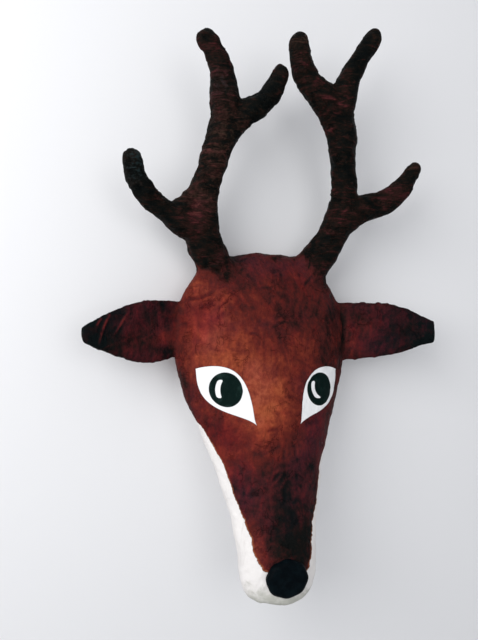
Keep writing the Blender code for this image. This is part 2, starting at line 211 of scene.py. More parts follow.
def head_rings():
    """Level rings: on the front half x = w sin a and forward = m + (f - m)
    cos(a)^fullness, on the back half f is the back's reach.
    """
    down = 0.5 - 0.5 * np.cos(np.linspace(0.0, math.pi, 150))
    half, front, widest, back = head_sizes(down)
    angle = np.linspace(0.0, 2 * math.pi, 160, endpoint=False)
    rise = np.cos(angle)
    facing = rise >= 0
    reach = np.where(facing, front[:, None], back[:, None]) - widest[:, None]
    forward = widest[:, None] + reach * np.abs(rise) ** np.where(facing, FRONT_FULLNESS, BACK_FULLNESS)
    across = half[:, None] * np.sin(angle)
    level = np.broadcast_to(down[:, None], across.shape)
    rings = HEAD_HEIGHT * np.stack((across, -forward, -level), axis=-1)
    rings[..., 2] += CROWN
    return rings


def ear_rings(side, droop, stations):
    """Slabs with round rims, square to the ear's length: a circle moved up
    and down by the rest of the half height, bent forward by the cup.
    """
    along = 0.5 - 0.5 * np.cos(np.linspace(0.0, math.pi, 60))
    tall, middle = (EAR_LENGTH * through(stations, along)).T
    thick = 0.5 * EAR_THICKNESS * np.clip(tall / tall.max(), EAR_THINNEST, 1.0)
    angle = np.linspace(0.0, 2 * math.pi, 120, endpoint=False)
    spread = np.clip(EAR_FLAT * np.sin(angle), -1.0, 1.0)
    rise = (tall - thick)[:, None] * spread + thick[:, None] * np.sin(angle)
    cup = EAR_CUP * (rise**2 / tall[:, None] - 0.5 * tall[:, None])
    forward = thick[:, None] * np.cos(angle) + cup
    length = np.broadcast_to(EAR_LENGTH * along[:, None], forward.shape)
    up = rise + middle[:, None]
    out = length * math.cos(droop) + up * math.sin(droop)
    up = up * math.cos(droop) - length * math.sin(droop)
    across = out * math.cos(EAR_SWEEP) - forward * math.sin(EAR_SWEEP)
    forward = out * math.sin(EAR_SWEEP) + forward * math.cos(EAR_SWEEP)
    root = on_head(*EAR_ROOT)
    return np.stack((side * (root[0] + across), root[1] - forward, root[2] + up), axis=-1)


def branch_rings(route, side):
    """A round profile carried along a path, square to it, with a rounded end
    and two slow waves of thickness.
    """
    rows = through(
        [(share, *values) for share, values in zip(np.linspace(0, 1, len(route)), route)],
        np.linspace(0.0, 1.0, 110) ** 0.8,
    )
    path = on_head(*ANTLER_ROOT) + ANTLER_HEIGHT * rows[:, :3] * (1.0, -1.0, 1.0)
    path[:, 0] *= side
    walked = np.concatenate(((0.0,), np.cumsum(np.linalg.norm(np.diff(path, axis=0), axis=1))))
    turn = 2 * math.pi * walked / LUMP_LENGTH
    thick = rows[:, 3] * (1.0 + LUMP_DEPTH * (np.sin(turn) + 0.6 * np.sin(0.43 * turn + side)))
    end = 0.5 * ANTLER_THICKNESS * thick[-1]
    left = np.clip((walked[-1] - walked) / end, 0.0, 1.0)
    radius = 0.5 * ANTLER_THICKNESS * thick * np.clip(np.sqrt(1.0 - (1.0 - left) ** 2), 0.15, 1.0)
    along = np.gradient(path, axis=0)
    along /= np.linalg.norm(along, axis=1)[:, None]
    across = np.cross(along, (0.0, 1.0, 0.0))
    across /= np.linalg.norm(across, axis=1)[:, None]
    over = np.cross(across, along)
    angle = np.linspace(0.0, 2 * math.pi, 48, endpoint=False)[:, None]
    round_it = across[:, None] * np.cos(angle) + over[:, None] * np.sin(angle)
    return path[:, None] + radius[:, None, None] * round_it


def nose_rings():
    """Button with drawn-in sides and a rounded rim: r = rim(t) (1 - d sin^2)."""
    rim = np.linspace(0.0, 0.5 * math.pi, 9)
    face = np.linspace(1.0 - NOSE_ROUND, 0.03, 12)[1:]
    spread = np.concatenate(((0.9, 0.95), 1.0 - NOSE_ROUND + NOSE_ROUND * np.cos(rim), face))
    swell = 1.0 + 0.10 * (1.0 - (face / (1.0 - NOSE_ROUND)) ** 2)
    stand = np.concatenate(((-NOSE_SUNK, -0.4 * NOSE_SUNK), NOSE_RAISED * np.sin(rim), NOSE_RAISED * swell))
    angle = np.linspace(0.0, 2 * math.pi, 144, endpoint=False)
    wave = 1.0 - NOSE_SIDE_DEPTH * np.sin(0.5 * NOSE_SIDES * angle) ** 2
    wave = wave + 0.008 * np.sin(3 * angle + 1.0)
    across = 0.5 * NOSE_WIDTH * spread[:, None] * wave * np.sin(angle)
    level = 0.5 * NOSE_HEIGHT * spread[:, None] * wave * np.cos(angle)
    forward = np.broadcast_to(stand[:, None], across.shape)
    centre = on_head(0.0, NOSE_FORWARD, NOSE_DOWN)
    return np.stack((across, centre[1] - forward, centre[2] + level), axis=-1)


def closed(rings):
    """Vertices and faces of a stack of rings, with a fan on each end."""
    count, around, _ = rings.shape
    index = np.arange(count * around).reshape(count, around)
    after = np.roll(index, -1, axis=1)
    quads = np.stack((index[:-1], after[:-1], after[1:], index[1:]), axis=-1).reshape(-1, 4)
    poles = count * around + np.arange(2)
    first = np.stack((after[0], index[0], np.full(around, poles[0])), axis=-1)
    last = np.stack((index[-1], after[-1], np.full(around, poles[1])), axis=-1)
    verts = np.concatenate((rings.reshape(-1, 3), rings[[0, -1]].mean(axis=1)))
    return verts, quads.tolist() + first.tolist() + last.tolist()


def mesh_of(name, surfaces):
    """One mesh with every closed surface in it, all facing outwards."""
    verts, faces, start = [], [], 0
    for rings in surfaces:
        some, corners = closed(rings)
        verts.append(some)
        faces += [[start + corner for corner in face] for face in corners]
        start += len(some)
    mesh = bpy.data.meshes.new(name)
    mesh.from_pydata(np.concatenate(verts), [], faces)
    shape = bmesh.new()
    shape.from_mesh(mesh)
    bmesh.ops.recalc_face_normals(shape, faces=shape.faces)
    shape.to_mesh(mesh)
    shape.free()
    return mesh


def shown(name, mesh):
    """The mesh as an object of the scene, at the origin."""
    item = bpy.data.objects.new(name, mesh)
    bpy.context.scene.collection.objects.link(item)
    return item


def applied(item):
    """The object's mesh as its modifiers leave it."""
    bpy.context.view_layer.update()
    mesh = bpy.data.meshes.new_from_object(item.evaluated_get(bpy.context.evaluated_depsgraph_get()))
    item.modifiers.clear()
    item.data = mesh
    return mesh


def values_of(items, key, width, kind=float):
    """One value of every item as an array with that many columns."""
    found = np.empty(len(items) * width, dtype=kind)
    items.foreach_get(key, found)
    return found.reshape(-1, width)


def soften(points, edges, share, rounds):
    """Each point moves by its share towards the middle of its neighbours."""
    a, b = edges.T
    count = np.bincount(edges.ravel(), minlength=len(points))[:, None]
    for _ in range(rounds):
        total = np.stack([
            np.bincount(a, points[b, k], len(points)) + np.bincount(b, points[a, k], len(points))
            for k in range(3)
        ], axis=1)
        points = points + share[:, None] * (total / count - points)
    return points


def smoothstep(low, high, value):
    """0 below low, 1 above high, 3t^2 - 2t^3 between."""
    t = np.clip((value - low) / (high - low), 0.0, 1.0)
    return t * t * (3.0 - 2.0 * t)


def noise(points, size, seed):
    """Random values from -1 to 1 on a lattice, read between its corners with
    the weight 3t^2 - 2t^3.
    """
    grid = np.random.default_rng(seed).uniform(-1.0, 1.0, (32, 32, 32))
    place = points / np.asarray(size)
    cell = np.floor(place).astype(int)
    t = place - cell
    t = t * t * (3.0 - 2.0 * t)
    total = np.zeros(len(points))
    for corner in np.ndindex(2, 2, 2):
        share = np.prod(np.where(corner, t, 1.0 - t), axis=1)
        a, b, c = ((cell + corner) % 32).T
        total += share * grid[a, b, c]
    return total


def paper_strips(points, normals):
    """Layers of torn strips. Each lies inside a wavy oblong at a random place
    and turn, adds its thickness, and hides the wrinkles below it with its
    own, 1 - 2 |noise| drawn out along it. Round the antlers they lie across.

    Returns how many strips lie at each point, and the wrinkles on top.
    """
    dice = np.random.default_rng(11)
    wobble = STRIP_WOBBLE * noise(points, STRIP_HALF[1], 21)
    layers = np.zeros(len(points))
    wrinkles = np.zeros(len(points))
    for number, at in enumerate(dice.integers(0, len(points), STRIPS)):
        up = normals[at]
        turn = dice.normal(size=3)
        if points[at, 2] > ANTLERS_ABOVE:
            turn = 0.7 * turn + 1.5 * np.cross(up, (0.0, 0.0, 1.0))
        along = turn - up * (turn @ up)
        along /= np.linalg.norm(along)
        across = np.cross(up, along)
        long_half, wide_half = STRIP_HALF * dice.uniform((0.6, 0.7), (1.2, 1.3))
        offset = points - points[at]
        near = np.flatnonzero((offset**2).sum(axis=1) < (long_half + STRIP_WOBBLE) ** 2)
        offset = offset[near]
        inside = np.minimum(
            long_half - np.abs(offset @ along),
            wide_half - np.abs(offset @ across),
        )
        inside = np.where(np.abs(offset @ up) < STRIP_BEND, inside + wobble[near], -1.0)
        cover = smoothstep(-0.0004, 0.0009, inside)
        place = np.column_stack((offset @ along, offset @ across, np.full(len(near), number)))
        own = 1.0 - 2.0 * np.abs(noise(place, (*STRIP_WRINKLE, 1.7), 91))
        layers[near] += cover
        wrinkles[near] += cover * (own - wrinkles[near])
    return layers - layers.mean(), wrinkles - wrinkles.mean()


def crease(points, path, width):
    """1 on a fold's line, with a lip of -0.4 along both sides, fading out
    towards its ends: exp(-(d / w)^2) - 0.4 exp(-((d - 1.9 w) / w)^2).

    Depth counts for a third, so that a path a little off the skin still
    marks it.
    """
    squash = (1.0, 0.33, 1.0)
    points, path = points * squash, np.array(path) * squash
    nearest = np.full(len(points), 9.0)
    share = np.zeros(len(points))
    for number, (start, end) in enumerate(zip(path[:-1], path[1:])):
        span = end - start
        t = np.clip((points - start) @ span / (span @ span), 0.0, 1.0)
        away = np.linalg.norm(points - start - t[:, None] * span, axis=1)
        share = np.where(away < nearest, (number + t) / (len(path) - 1), share)
        nearest = np.minimum(nearest, away)
    middle = np.clip(5.0 * share * (1.0 - share), 0.0, 1.0)
    lip = np.exp(-((nearest / width - 1.9) ** 2))
    return middle * (np.exp(-((nearest / width) ** 2)) - 0.4 * lip)


FOLDS = (                   # path, width and depth of each single fold, raised below nought
    (((-0.090, -0.042, 0.028), (-0.079, -0.045, 0.032), (-0.070, -0.051, 0.033),
      (-0.062, -0.053, 0.037), (-0.056, -0.054, 0.041)), 0.0017, 0.0016),
    (((-0.058, -0.061, 0.020), (-0.050, -0.061, 0.027), (-0.039, -0.061, 0.036)), 0.0014, 0.0005),
    (((-0.068, -0.041, 0.062), (-0.061, -0.048, 0.063), (-0.055, -0.049, 0.060),
      (-0.047, -0.051, 0.055)), 0.0020, 0.0018),
    (((-0.065, -0.046, 0.066), (-0.057, -0.050, 0.067), (-0.052, -0.051, 0.070)), 0.0018, 0.0015),
    (((-0.015, -0.061, 0.044), (-0.005, -0.061, 0.0455), (0.003, -0.061, 0.044)), 0.0014, 0.0005),
    (((0.013, -0.051, 0.062), (0.012, -0.058, 0.051)), 0.0015, 0.0006),
    (((0.037, -0.056, 0.048), (0.044, -0.051, 0.054), (0.049, -0.049, 0.060)), 0.0014, 0.0005),
    (((-0.005, -0.077, 0.004), (-0.002, -0.076, 0.007), (0.012, -0.073, 0.014),
      (0.015, -0.071, 0.021)), 0.0013, 0.0004),
    (((-0.003, -0.081, -0.012), (0.000, -0.085, -0.024), (-0.005, -0.087, -0.034)), 0.0015, 0.0004),
    (((-0.028, -0.076, -0.001), (-0.022, -0.076, 0.001), (-0.013, -0.078, -0.003)), 0.0013, 0.0004),
    (((0.005, -0.104, -0.105), (0.002, -0.107, -0.116), (0.004, -0.108, -0.122)), 0.0016, 0.0008),
    (((-0.010, -0.111, -0.140), (-0.007, -0.111, -0.134), (0.000, -0.110, -0.130)), 0.0015, 0.0007),
    (((-0.015, -0.100, -0.093), (-0.008, -0.100, -0.090), (-0.001, -0.100, -0.089)), 0.0014, 0.0005),
    (((0.003, -0.112, -0.137), (0.002, -0.116, -0.156), (0.000, -0.118, -0.162)), 0.0018, 0.0008),
    (((0.011, -0.103, -0.103), (0.0155, -0.103, -0.108), (0.014, -0.106, -0.118)), 0.0014, 0.0005),
    (((-0.158, -0.064, 0.017), (-0.164, -0.067, 0.005), (-0.1695, -0.069, -0.013)), 0.0014, -0.0010),
    (((-0.141, -0.061, 0.0185), (-0.149, -0.063, 0.006), (-0.1545, -0.064, -0.004)), 0.0013, -0.0008),
    (((-0.166, -0.067, 0.012), (-0.171, -0.069, 0.005)), 0.0012, -0.0006),
    (((0.089, -0.042, 0.026), (0.089, -0.046, 0.004), (0.086, -0.051, -0.022)), 0.0030, 0.0006),
)
CROWN_DIP = (-0.028, 0.079, 0.011, 0.0034)  # x, z, reach and depth of a dent behind the left foot


def relief(points, normals):
    """How far the paper stands out of the plain form at each point, how deep
    in a single fold the point lies, from 1 to -1 on a raised one, and how
    high on a wrinkle.
    """
    x, _, z = points.T
    antler = smoothstep(ANTLERS_ABOVE - 0.012, ANTLERS_ABOVE + 0.016, z)
    ear = smoothstep(EARS_BEYOND - 0.004, EARS_BEYOND + 0.010, np.abs(x)) * (1.0 - antler)
    head = 1.0 - np.maximum(antler, ear)
    layers, wrinkles = paper_strips(points, normals)
    waves, ripples, lumps, crumples = (
        tall * noise(points, size, seed)
        for tall, size, seed in (HEAD_WAVES, HEAD_RIPPLES, ANTLER_LUMPS, ANTLER_CRUMPLES)
    )
    height = STRIP_STEP * layers
    height += (HEAD_WRINKLES * head + EAR_WRINKLES * ear + ANTLER_WRINKLES * antler) * wrinkles
    height += waves * (head + 0.3 * ear) + ripples * (head + ear) + antler * (lumps + crumples)
    rim = ear * smoothstep(0.75, 0.95, np.abs(normals[:, 2]))
    height += RIM_BUMPS * rim * smoothstep(0.45, 0.75, noise(points, (0.005, 0.05, 0.05), 81))
    dip_x, dip_z, reach, depth = CROWN_DIP
    height -= depth * np.exp(-((x - dip_x) ** 2 + (z - dip_z) ** 2) / reach**2)
    folded = np.zeros(len(points))
    for path, width, depth in FOLDS:
        near = crease(points, path, width)
        height -= depth * near
        folded += math.copysign(1.0, depth) * near
    return height, np.clip(folded, -1.0, 1.0), wrinkles


def flat_back(item):
    """Cuts off what lies behind the wall and closes the cut."""
    shape = bmesh.new()
    shape.from_mesh(item.data)
    cut = bmesh.ops.bisect_plane(
        shape, geom=shape.verts[:] + shape.edges[:] + shape.faces[:], dist=1e-6,
        plane_co=(0.0, 0.0, 0.0), plane_no=(0.0, 1.0, 0.0), clear_outer=True,
    )
    rim = [part for part in cut["geom_cut"] if isinstance(part, bmesh.types.BMEdge)]
    bmesh.ops.holes_fill(shape, edges=rim, sides=0)
    bmesh.ops.triangulate(shape, faces=[face for face in shape.faces if len(face.verts) > 4])
    shape.to_mesh(item.data)
    shape.free()


def stag_head():
    """Head, ears and antlers as one papered skin, with the nose set in it."""
    surfaces = [head_rings(), ear_rings(*LEFT_EAR), ear_rings(*RIGHT_EAR)]
    surfaces += [branch_rings(route, -1) for route in LEFT_ANTLER]
    surfaces += [branch_rings(route, 1) for route in RIGHT_ANTLER]
    item = shown("papered_skin", mesh_of("papered_skin", surfaces))
    skin = item.modifiers.new("fused_skin", "REMESH")
    skin.mode = "VOXEL"
    skin.voxel_size = GRAIN
    mesh = applied(item)

    points = values_of(mesh.vertices, "co", 3)
    edges = values_of(mesh.edges, "vertices", 2, np.int32)
    points = soften(points, edges, np.full(len(points), 0.5), SOFT_ROUNDS)
    near = np.zeros(len(points))
    for side in (-1, 1):
        distance = np.linalg.norm(points - on_head(*ANTLER_FOOT) * (side, 1.0, 1.0), axis=1)
        near = np.maximum(near, np.clip(1.6 * (1.0 - distance / ROOT_REACH), 0.0, 1.0))
    points = soften(points, edges, 0.5 * near, ROOT_ROUNDS)
    mesh.vertices.foreach_set("co", points.ravel())
    mesh.update()
    normals = values_of(mesh.vertex_normals, "vector", 3)
    height, folded, wrinkles = relief(points, normals)
    points = points + normals * height[:, None]
    points = np.clip(points, CAD_LOW, np.array(CAD_HIGH) + (0.0, 1.0, 0.0))
    mesh.vertices.foreach_set("co", points.ravel())
    for name, values in zip(STORED, (height * 1000.0, folded, wrinkles)):
        mesh.attributes.new(name, "FLOAT", "POINT").data.foreach_set("value", values)
    mesh.update()
    flat_back(item)

    button = shown("nose_button", mesh_of("nose_button", [nose_rings()]))
    return item, button


class Wire:
    """A socket on its way through a material. Operators add Math nodes."""

    def __init__(self, paint, socket):
        self.paint, self.socket = paint, socket

    def math(self, operation, *others):
        return self.paint.math(operation, self, *others)

    def __add__(self, other):
        return self.math("ADD", other)

    def __sub__(self, other):
        return self.math("SUBTRACT", other)

    def __mul__(self, other):
        return self.math("MULTIPLY", other)

    def __truediv__(self, other):
        return self.math("DIVIDE", other)

    def __pow__(self, other):
        return self.math("POWER", other)

    def __rsub__(self, other):
        return self.paint.math("SUBTRACT", other, self)

    def __neg__(self):
        return self * -1.0

    def __abs__(self):
        return self.math("ABSOLUTE")

    __radd__ = __add__
    __rmul__ = __mul__


def fill_ramp(ramp, stops):
    """The ramp's stops: a place from 0 to 1 and its colour."""
    while len(ramp.elements) < len(stops):
        ramp.elements.new(0.5)
    for element, (place, colour) in zip(ramp.elements, stops):
        element.position = place
        element.color = (*colour, 1.0)


class Paint:
    """A material being built, with a Principled BSDF at its end."""

    def __init__(self, name, gloss=0.5):
        self.material = bpy.data.materials.new(name)
        self.material.use_nodes = True
        self.tree = self.material.node_tree
        self.shader = self.tree.nodes["Principled BSDF"]
        self.shader.inputs["Specular IOR Level"].default_value = gloss
        self.object = self.node("ShaderNodeTexCoord", output="Object")
        split = self.node("ShaderNodeSeparateXYZ", (), {"Vector": self.object})
        self.x, self.y, self.z = (Wire(self, end) for end in split.socket.node.outputs)

    def give(self, socket, value):
        if isinstance(value, Wire):
            self.tree.links.new(value.socket, socket)
        else:
            socket.default_value = value

    def node(self, kind, settings=(), values=(), output=0):
        """Any node: its settings first, then the values of its sockets."""
        made = self.tree.nodes.new(kind)
        for key, value in dict(settings).items():
            if key == "stops":
                fill_ramp(made.color_ramp, value)
            else:
                setattr(made, key, value)
        for key, value in dict(values).items():
            self.give(made.inputs[key], value)
        return Wire(self, made.outputs[output])

    def math(self, operation, *values):
        return self.node("ShaderNodeMath", {"operation": operation}, enumerate(values))

    def step(self, low, high, value):
        """0 below low, 1 above high, smooth between."""
        return self.node(
            "ShaderNodeMapRange", {"interpolation_type": "SMOOTHSTEP"},
            {"Value": value, "From Min": low, "From Max": high},
        )

    def ramp(self, stops, value):
        return self.node("ShaderNodeValToRGB", {"stops": stops}, {"Fac": value})

    def mix(self, share, first, second, how="MIX"):
        """Colour mix, from the first at 0 to the second at 1."""
        first, second = (
            value if isinstance(value, Wire) else (*value, 1.0) for value in (first, second)
        )
        return self.node(
            "ShaderNodeMix", {"data_type": "RGBA", "blend_type": how, "clamp_factor": True},
            {0: share, 6: first, 7: second}, output=2,
        )

    def stored(self, name):
        """A value kept on the mesh's points."""
        return self.node("ShaderNodeAttribute", {"attribute_name": name}, (), "Fac")

    def noise(self, size, detail=3.0, rough=0.55, stretch=(1.0, 1.0, 1.0), at=(0.0, 0.0, 0.0), bend=0.0):
        """Cloudy noise about nought whose patches are about this size."""
        place = self.node(
            "ShaderNodeMapping", (), {"Vector": self.object, "Location": at, "Scale": stretch},
        )
        return self.node(
            "ShaderNodeTexNoise", (),
            {"Vector": place, "Scale": 1.0 / size, "Detail": detail, "Roughness": rough, "Distortion": bend},
        ) - 0.5

    def spots(self, *places):
        """Sum of soft patches seen from the front, each strong times
        exp(-(dx/wide)^2 - (dz/tall)^2).
        """
        total = 0.0
        for x, z, wide, tall, strong in places:
            reach = ((self.x - x) / wide) ** 2.0 + ((self.z - z) / tall) ** 2.0
            total = total + self.math("EXPONENT", -reach) * strong
        return total

    def finish(self, colour, roughness, bump=None, strength=1.0, distance=0.001):
        self.give(self.shader.inputs["Base Color"], colour)
        self.give(self.shader.inputs["Roughness"], roughness)
        if bump is not None:
            normal = self.node(
                "ShaderNodeBump", (), {"Height": bump, "Strength": strength, "Distance": distance},
            )
            self.give(self.shader.inputs["Normal"], normal)
        return self.material


TONES = (                   # the brown paints, from near black to orange brown
    (0.00, (0.0040, 0.0046, 0.0044)),
    (0.10, (0.0095, 0.0058, 0.0050)),
    (0.20, (0.0210, 0.0070, 0.0064)),
    (0.36, (0.0520, 0.0105, 0.0095)),
    (0.55, (0.0980, 0.0145, 0.0110)),
    (0.74, (0.1600, 0.0270, 0.0150)),
    (0.90, (0.2450, 0.0480, 0.0210)),
    (1.00, (0.3100, 0.0700, 0.0290)),
)
ANTLER_TONES = (            # the dark paints, from green black to crimson
    (0.00, (0.0014, 0.0024, 0.0024)),
    (0.25, (0.0042, 0.0042, 0.0034)),
    (0.45, (0.0120, 0.0060, 0.0044)),
    (0.65, (0.0260, 0.0088, 0.0078)),
    (0.82, (0.0480, 0.0105, 0.0125)),
    (1.00, (0.0800, 0.0220, 0.0200)),
)
GREEN_BLACK = (0.0024, 0.0046, 0.0050)
BACK_PAPER = (0.0750, 0.0400, 0.0270)
BACK_DARKER = (0.0400, 0.0200, 0.0150)
# Painted highlight: olive brown on the antlers' tips and raised crumples
OLIVE_HIGHLIGHT = (0.0380, 0.0270, 0.0170)
# Painted sheen: blue grey on the left antler's lower tine tip
BLUE_SHEEN = (0.0110, 0.0190, 0.0200)
CRIMSON = (1.00, 0.68, 0.92)
COOLER = (0.95, 1.05, 1.75)
EDGE_ORANGE = (0.350, 0.110, 0.040)
WHITE = (0.800, 0.770, 0.750)
SHADED_WHITE = (0.700, 0.665, 0.640)
# Painted shade under the chin
CHIN_SHADE_GREY = (0.450, 0.450, 0.400)
EYE_WHITE = (0.860, 0.865, 0.870)
IRIS = (0.0016, 0.0085, 0.0072)
IRIS_LIGHT = (0.0120, 0.0290, 0.0250)
NOSE_BLACK = (0.0008, 0.0022, 0.0034)
NOSE_WORN = (0.0022, 0.0056, 0.0075)
WALL_COLOUR = (0.80, 0.80, 0.81)
FLOOR_COLOUR = (0.78, 0.78, 0.77)
AIR_COLOUR = (0.93, 0.95, 1.00)

# Soft patches of paint, some of them painted light or shade: x, z, half width, half height and strength of
# each
WARM_PATCHES = (
    (-0.012, -0.062, 0.038, 0.036, 0.34), (-0.014, -0.076, 0.016, 0.020, 0.10),
    (-0.006, -0.052, 0.028, 0.030, 0.12), (-0.020, -0.026, 0.022, 0.014, 0.14),
    (-0.052, -0.008, 0.028, 0.044, 0.22), (-0.060, -0.026, 0.022, 0.012, 0.15),
    (0.038, -0.016, 0.018, 0.014, 0.17), (0.034, 0.056, 0.014, 0.012, 0.13),
    (-0.070, 0.047, 0.012, 0.010, 0.18), (-0.014, -0.093, 0.016, 0.012, 0.14),
    (-0.042, -0.118, 0.012, 0.014, 0.16), (0.030, -0.094, 0.016, 0.016, 0.12),
    (0.029, -0.150, 0.009, 0.024, 0.08), (-0.060, -0.030, 0.018, 0.010, 0.08),
    (-0.028, -0.202, 0.008, 0.020, 0.20),
)
# Those at the right ear's root (0.088, 0.000) and the left cheek's outer edge (-0.086, -0.058) are painted
# shade, in the groove where the ear joins the head and where the cheek turns to the wall; the rest are
# darker paint
DARK_PATCHES = (
    (0.008, -0.152, 0.028, 0.034, 0.25), (0.004, -0.192, 0.024, 0.026, 0.36),
    (0.034, -0.150, 0.012, 0.060, 0.12), (0.062, 0.016, 0.018, 0.036, 0.16),
    (0.020, 0.020, 0.018, 0.018, 0.08), (0.088, 0.000, 0.009, 0.040, 0.12),
    (-0.091, 0.004, 0.007, 0.036, 0.10), (-0.086, -0.058, 0.010, 0.030, 0.16),
    (-0.040, 0.056, 0.020, 0.012, 0.18), (-0.066, 0.014, 0.014, 0.016, 0.08),
    (-0.071, -0.078, 0.014, 0.016, 0.18), (-0.034, -0.150, 0.016, 0.024, 0.20),
    (0.018, -0.206, 0.020, 0.018, 0.20), (0.036, -0.185, 0.012, 0.040, 0.03),
    (0.000, 0.070, 0.060, 0.020, 0.07), (0.033, -0.122, 0.014, 0.020, 0.10),
    (-0.055, -0.094, 0.012, 0.010, 0.05),
)
EAR_PATCHES = (
    (-0.106, -0.005, 0.012, 0.010, 0.16), (-0.126, 0.002, 0.016, 0.012, 0.06),
    (-0.102, 0.022, 0.016, 0.008, -0.12), (-0.103, -0.018, 0.014, 0.006, -0.22),
    (-0.092, 0.000, 0.005, 0.030, -0.06), (0.104, 0.022, 0.014, 0.007, -0.10),
    (-0.100, -0.006, 0.010, 0.008, 0.10), (0.140, 0.006, 0.018, 0.014, -0.04),
    (0.098, -0.008, 0.008, 0.012, 0.20), (0.115, 0.008, 0.014, 0.012, 0.10),
    (0.140, 0.000, 0.020, 0.016, -0.06), (-0.160, 0.010, 0.010, 0.014, -0.06),
)
ANTLER_PATCHES = (
    (-0.078, 0.108, 0.014, 0.022, 0.34), (-0.060, 0.215, 0.016, 0.026, 0.18),
    (-0.062, 0.178, 0.012, 0.020, 0.08), (-0.072, 0.245, 0.012, 0.016, 0.10),
    (0.072, 0.120, 0.012, 0.020, 0.10), (0.046, 0.212, 0.020, 0.018, 0.18),
    (0.014, 0.250, 0.012, 0.024, 0.10), (0.125, 0.145, 0.026, 0.014, 0.20),
    (0.056, 0.085, 0.008, 0.020, 0.10), (-0.130, 0.140, 0.018, 0.030, -0.16),
    (-0.020, 0.216, 0.020, 0.024, -0.16), (0.072, 0.176, 0.012, 0.030, -0.12),
    (0.078, 0.265, 0.022, 0.022, -0.20), (-0.052, 0.066, 0.014, 0.014, 0.20),
    (-0.064, 0.150, 0.012, 0.024, 0.12), (-0.030, 0.225, 0.026, 0.020, -0.10),
    (0.016, 0.262, 0.014, 0.020, -0.04),
)
COOL_PATCHES = (
    (0.000, 0.068, 0.050, 0.020, 0.5), (-0.034, -0.155, 0.020, 0.050, 0.5),
    (0.042, -0.100, 0.020, 0.030, 0.7), (0.010, -0.140, 0.020, 0.030, 0.5),
)
RED_PATCHES = (
    (-0.068, 0.010, 0.018, 0.024, 0.9), (-0.056, -0.094, 0.022, 0.014, 0.9),
    (-0.044, -0.122, 0.016, 0.026, 0.6), (0.034, 0.052, 0.022, 0.014, 0.4),
    (0.040, -0.090, 0.016, 0.016, 0.6),
)
# Where the painted olive highlight lies, mostly on the tines' tips
OLIVE_HIGHLIGHT_SPOTS = (
    (-0.079, 0.274, 0.008, 0.006, 0.8), (-0.060, 0.150, 0.014, 0.040, 0.35),
    (0.012, 0.272, 0.009, 0.008, 0.7), (0.137, 0.176, 0.010, 0.008, 0.7),
    (0.094, 0.286, 0.008, 0.008, 0.5), (-0.090, 0.128, 0.020, 0.010, 0.3),
    (-0.052, 0.186, 0.020, 0.020, 0.3),
)
# Where the painted blue sheen lies, on the left antler's lower tine tip and upper beam
BLUE_SHEEN_SPOTS = ((-0.138, 0.152, 0.009, 0.016, 1.6), (-0.063, 0.224, 0.010, 0.010, 0.5))

# The painted jaw and eyes
JAW_EDGE = (                # how far down, and how far forward the brown begins there
    (0.040, 0.000), (0.068, 0.031), (0.091, 0.067), (0.127, 0.0873), (0.158, 0.0986),
    (0.1986, 0.1195), (0.2203, 0.1294), (0.226, 0.1345), (0.240, 0.300),
)
REACH = 0.300               # longest distance that the jaw's ramp covers
EYE_CORNER = (0.0752, -0.0355)      # x and z of the outer corner
EYE_ALONG = (-0.7187, -0.6954)      # the way from there to the inner one
EYE_LENGTH = 0.0729
UPPER_LID = (0.0998, 0.86, 1.29)
LOWER_LID = (0.1092, 1.16, 1.79)
EYE_EDGE = 0.00035                  # half the width in which one paint ends
IRIS_PLACE = (0.0493, -0.0538)
IRIS_HALF = (0.0150, 0.0165)
IRIS_WIDER = 0.0012                 # on the right
LEFT_GLINT = (-0.0375, -0.0546, 0.0191, -0.0533)    # x, z and radius of its arc, its own z
RIGHT_GLINT = (0.0557, -0.0498, 0.0153, -0.0541)
GLINT_LENGTH = 0.0088               # half of each
GLINT_WIDTH = 0.0021
GLINT_ROUND = 0.24                  # share of the half length that its round end takes


class Brushwork:
    """The clouds, the thin lines and the stored heights that the skin's
    paints share.
    """

    def __init__(self, paint):
        self.broad = paint.noise(0.040, 3.0, 0.55, at=(7.0, 2.0, 4.0))
        self.patchy = paint.noise(0.014, 5.0, 0.62, at=(3.0, 1.0, 2.0), bend=0.4)
        self.brushed = paint.noise(
            0.008, 4.0, 0.60, stretch=(1.0, 1.0, 0.35), at=(1.0, 5.0, 0.0), bend=0.8,
        )
        self.fine = paint.noise(0.0032, 3.0, 0.7)
        lines = paint.noise(0.016, 4.0, 0.6, at=(2.0, 6.0, 1.0), bend=0.6)
        some = paint.step(0.00, 0.10, paint.noise(0.019, 1.0, 0.5))
        self.lines = paint.step(-0.035, -0.005, -abs(lines)) * some
        self.stand, self.folded, self.wrinkle = (paint.stored(name) for name in STORED)
        self.right = paint.step(-0.001, 0.001, paint.x)


def regions(paint, marks):
    """Where the ears and the antlers are, each 0 to 1. The antlers' paint
    ends on a curve round each foot, z = 0.0533 + k (|x| - foot)^2.
    """
    ear = paint.step(-0.006, 0.006, abs(paint.x) - EARS_BEYOND + 0.03 * marks.patchy)
    foot = abs(paint.x) - (0.054 + 0.012 * marks.right)
    edge = 0.0533 + (28.0 + 20.0 * marks.right) * foot * foot
    brush = 0.06 * marks.patchy + 0.04 * marks.brushed + 0.03 * marks.broad
    antler = paint.step(-0.009, 0.009, paint.z - edge.math("MINIMUM", CROWN) + brush)
    return ear, antler


